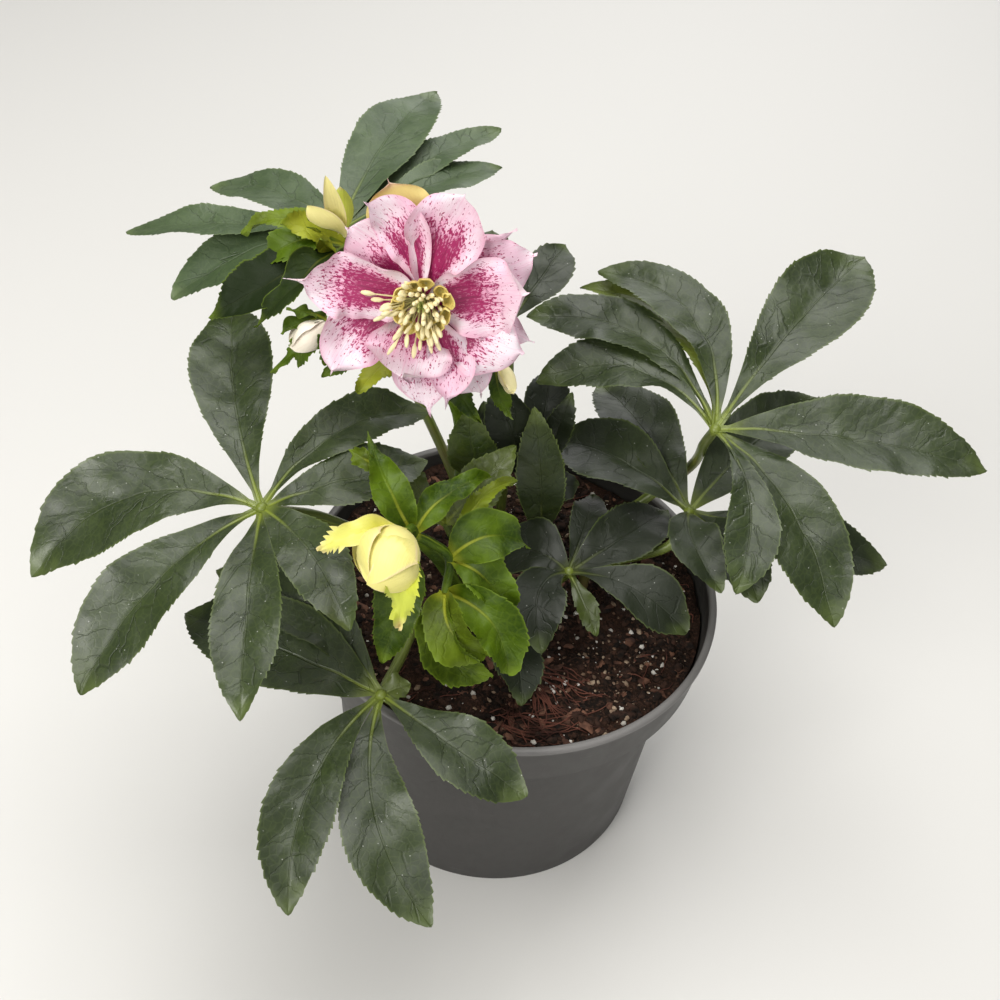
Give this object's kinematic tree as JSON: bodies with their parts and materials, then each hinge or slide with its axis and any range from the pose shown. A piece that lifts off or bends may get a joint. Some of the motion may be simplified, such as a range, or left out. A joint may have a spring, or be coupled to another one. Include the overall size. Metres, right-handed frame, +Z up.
{
  "type": "potted hellebore plant",
  "caption": "Flowering hellebore in a round nursery pot: an open speckled flower, closed buds, toothed bracts and hand-shaped evergreen leaves over compost.",
  "frame": {"origin": "centre of the pot's flat base, on the surface that it stands on", "axes": "+Z up; the side the flower looks to faces -Y; +X to the right when seen from that side"},
  "size_m": [0.3408, 0.3189, 0.2982],
  "materials": {
    "pot_plastic": "grey matte moulded plastic",
    "compost": "damp peat and bark",
    "leaf_dark": "semi-gloss waxy leaf",
    "leaf_pale": "satin waxy leaf",
    "leaf_young": "satin young leaf",
    "stalk_green": "satin green stalk",
    "bract_green": "satin bright green",
    "petal_pink": "soft matt petal with magenta speckles",
    "petal_cream": "soft matt petal",
    "stamen_cream": "matt pollen",
    "nectary_gold": "glossy green-gold",
    "carpel_green": "satin pale green"
  },
  "bodies": {
    "root": {"leaf_a_blade": "leaf_dark", "leaf_a_stalk": "stalk_green", "leaf_b_blade": "leaf_dark", "leaf_b_stalk": "stalk_green", "leaf_c_blade": "leaf_pale", "leaf_c_stalk": "stalk_green", "leaf_d_blade": "leaf_dark", "leaf_d_stalk": "stalk_green", "leaf_e_blade": "leaf_dark", "leaf_e_stalk": "stalk_green", "leaf_f_blade": "leaf_dark", "leaf_f_stalk": "stalk_green", "leaf_g_blade": "leaf_dark", "leaf_g_stalk": "stalk_green", "leaf_h_blade": "leaf_dark", "leaf_h_stalk": "stalk_green", "young_leaf_upright": "leaf_young", "young_leaf_olive": "leaf_young", "young_leaf_folded": "leaf_young", "low_leaf": "leaf_dark", "pot": "pot_plastic", "compost": "compost", "flower_petals": "petal_pink", "flower_stamens": "stamen_cream", "flower_nectaries": "nectary_gold", "flower_carpels": "carpel_green", "flower_stem": "bract_green", "bud_one_stem": "bract_green", "bud_one_petals": "petal_cream", "side_bud_petals": "petal_cream", "low_bud_petals": "petal_cream", "bud_two_petals": "petal_cream"}
  },
  "joints": []
}
